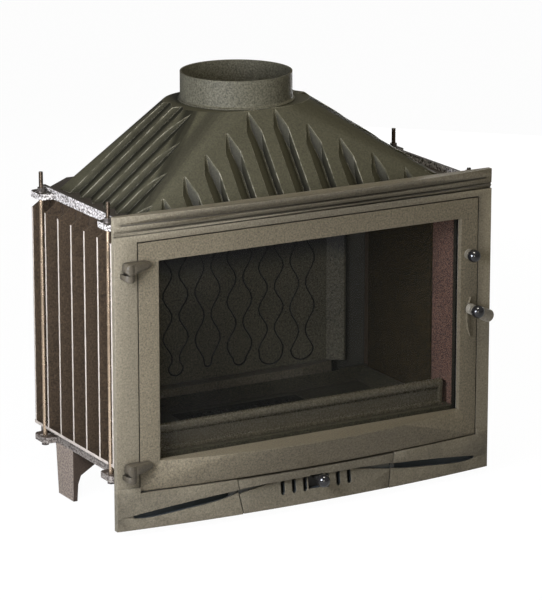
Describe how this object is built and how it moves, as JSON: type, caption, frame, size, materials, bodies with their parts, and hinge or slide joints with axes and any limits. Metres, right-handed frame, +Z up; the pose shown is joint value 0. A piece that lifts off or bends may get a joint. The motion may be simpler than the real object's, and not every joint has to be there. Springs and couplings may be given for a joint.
{
  "type": "fireplace insert",
  "caption": "Cast iron wood-burning fireplace insert: bowed glazed door in a flat facade, fluted smoke hood with round flue collar, finned sides, ash drawer and air slide.",
  "frame": {"origin": "on the floor under the middle of the insert's bounding box", "axes": "+Z up, -Y towards the user in front of the glazed door, +X to the user's right"},
  "size_m": [0.7, 0.44, 0.686],
  "materials": {
    "facade_paint": "matt brown-grey stove paint over fine sand-cast iron",
    "hood_iron": "matt dark green-grey cast iron",
    "collar_iron": "matt grey cast iron",
    "side_iron": "matt dark brown cast iron with bright worn fin edges",
    "base_iron": "matt grey-mauve cast iron",
    "inner_iron": "matt black-grey firebox iron",
    "lining_iron": "rough red-brown lining",
    "dark_steel": "dull dark steel",
    "sheet_steel": "dull grey sheet steel",
    "knob_black": "glossy black",
    "glass_clear": "clear heat-proof glass",
    "seal_rope": "woven glass-fibre seal, grey"
  },
  "bodies": {
    "stove": {"base_casting": "base_iron", "leg_left": "base_iron", "leg_right": "base_iron", "leg_front_left": "base_iron", "leg_front_right": "base_iron", "side_left": "side_iron", "side_right": "side_iron", "back_wall": "side_iron", "front_frame": "inner_iron", "top_plate": "base_iron", "hood": "hood_iron", "flue_collar": "collar_iron", "tie_rods": "dark_steel", "tie_rod_nuts": "dark_steel", "tie_rod_washers": "dark_steel", "facade": "facade_paint", "facade_bolts": "dark_steel", "hinge_brackets": "facade_paint", "fireback": "inner_iron", "fireback_foot": "inner_iron", "lining_left": "lining_iron", "lining_right": "lining_iron", "baffle": "inner_iron", "hearth": "inner_iron", "ash_grate": "inner_iron", "log_retainer": "inner_iron", "ash_housing": "sheet_steel"},
    "door": {"door_frame": "facade_paint", "door_glass": "glass_clear", "glass_gasket": "seal_rope", "glass_clips": "dark_steel", "clip_screws": "dark_steel", "door_seal": "seal_rope", "hinge_leaves": "facade_paint", "pull_knob": "knob_black"},
    "latch": {"latch_handle": "dark_steel", "latch_knob": "knob_black", "latch_cam": "dark_steel"},
    "ash_drawer": {"ash_drawer_front": "facade_paint", "ash_pan": "sheet_steel"},
    "air_slide": {"air_slide": "dark_steel", "air_knob": "knob_black"}
  },
  "joints": [
    {"name": "door_hinge", "type": "hinge", "parent": "stove", "child": "door", "pos_m": [-0.3305, -0.181, 0.273], "axis": [0, 0, -1], "range_deg": [0, 110]},
    {"name": "latch_turn", "type": "hinge", "parent": "door", "child": "latch", "pos_m": [0.309, -0.17, 0.295], "axis": [0, -1, 0], "range_deg": [0, 75]},
    {"name": "ash_drawer_slide", "type": "slide", "parent": "stove", "child": "ash_drawer", "axis": [0, -1, 0], "range_m": [0, 0.19]},
    {"name": "air_slide_move", "type": "slide", "parent": "ash_drawer", "child": "air_slide", "axis": [1, 0, 0], "range_m": [-0.01, 0.01]}
  ]
}
